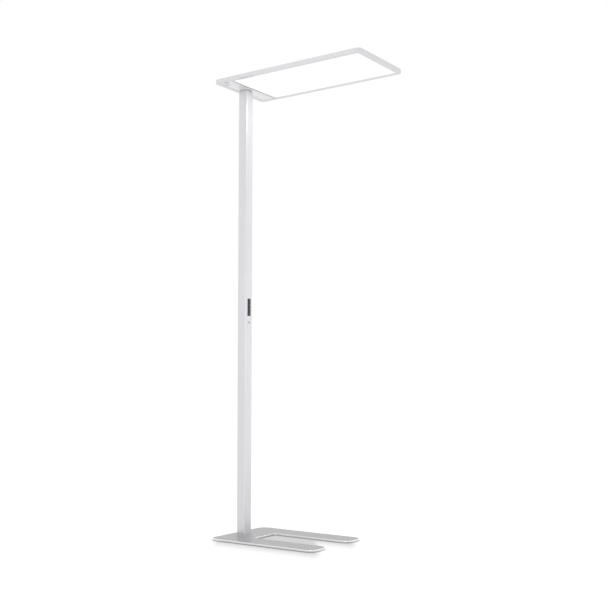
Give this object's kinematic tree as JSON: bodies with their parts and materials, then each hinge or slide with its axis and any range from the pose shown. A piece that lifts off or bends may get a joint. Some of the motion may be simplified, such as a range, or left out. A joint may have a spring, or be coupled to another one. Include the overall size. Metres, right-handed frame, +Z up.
{
  "type": "office floor lamp",
  "caption": "Free-standing office floor lamp with a flat rectangular panel head, a square mast with a push-button strip and a U-shaped base plate.",
  "frame": {"origin": "on the floor, under the middle of the lamp's footprint box", "axes": "+Z up, +X from the mast towards the front of the head and the tips of the base's prongs, +Y to the left when looking along +X"},
  "size_m": [0.734, 0.366, 1.95],
  "materials": {
    "silver_paint": "satin",
    "silver_mast": "satin",
    "silver_head": "satin",
    "glide_rubber": "matte",
    "screw_steel": "satin",
    "screw_painted": "satin",
    "sheet_steel": "satin",
    "switch_metal": "satin",
    "neck_steel": "satin",
    "trim_grey": "satin",
    "panel_black": "satin",
    "key_black": "satin",
    "inlet_black": "satin",
    "contact_brass": "satin",
    "board_green": "satin",
    "lead_sheath": "matte",
    "driver_case": "matte",
    "pillar_nylon": "matte",
    "status_grey": "satin",
    "cover_grey": "satin",
    "sensor_white": "satin",
    "sensor_lens": "satin",
    "light_pipe": "gloss",
    "diffuser_opal": "matte",
    "guide_acrylic": "gloss",
    "reflector_white": "matte",
    "foam_grey": "matte",
    "strip_white": "satin",
    "rail_aluminium": "satin"
  },
  "bodies": {
    "lamp": {"base_plate": "silver_paint", "mast": "silver_mast", "head_frame": "silver_head", "top_cover": "silver_head", "glides": "glide_rubber", "base_screws": "screw_steel", "neck_screws": "screw_steel", "control_screws": "screw_steel", "driver_screws": "screw_steel", "cross_bar_screws": "screw_steel", "carrier_screws": "screw_steel", "sensor_nut": "screw_steel", "end_cover_screws": "screw_painted", "top_cover_screws": "screw_painted", "carrier_plate": "sheet_steel", "driver_bracket": "sheet_steel", "key_switches": "switch_metal", "neck_collar": "neck_steel", "cross_bar": "trim_grey", "control_bezel": "panel_black", "control_back": "panel_black", "mains_inlet": "inlet_black", "inlet_boot": "inlet_black", "inlet_blades": "contact_brass", "control_board": "board_green", "status_board": "board_green", "head_board": "board_green", "sensor_board": "board_green", "control_leads": "lead_sheath", "mains_lead": "lead_sheath", "output_lead": "lead_sheath", "led_leads": "lead_sheath", "sensor_lead": "lead_sheath", "driver": "driver_case", "board_pillars": "pillar_nylon", "status_window": "status_grey", "end_cover": "cover_grey", "sensor_housing": "sensor_white", "sensor_lens": "sensor_lens", "daylight_window": "light_pipe", "diffuser": "diffuser_opal", "light_guide": "guide_acrylic", "reflector_sheet": "reflector_white", "foam_pads": "foam_grey", "led_strip_near": "strip_white", "led_strip_far": "strip_white", "led_rail_near": "rail_aluminium", "led_rail_far": "rail_aluminium"},
    "key_power": {"key_power": "key_black"},
    "key_brighter": {"key_brighter": "key_black"},
    "key_dimmer": {"key_dimmer": "key_black"},
    "key_auto": {"key_auto": "key_black"}
  },
  "joints": [
    {"name": "press_power", "type": "slide", "parent": "lamp", "child": "key_power", "axis": [-1, 0, 0], "range_m": [0, 0.0008], "stiffness_N_per_m": 1500},
    {"name": "press_brighter", "type": "slide", "parent": "lamp", "child": "key_brighter", "axis": [-1, 0, 0], "range_m": [0, 0.0008], "stiffness_N_per_m": 1500},
    {"name": "press_dimmer", "type": "slide", "parent": "lamp", "child": "key_dimmer", "axis": [-1, 0, 0], "range_m": [0, 0.0008], "stiffness_N_per_m": 1500},
    {"name": "press_auto", "type": "slide", "parent": "lamp", "child": "key_auto", "axis": [-1, 0, 0], "range_m": [0, 0.0008], "stiffness_N_per_m": 1500}
  ]
}
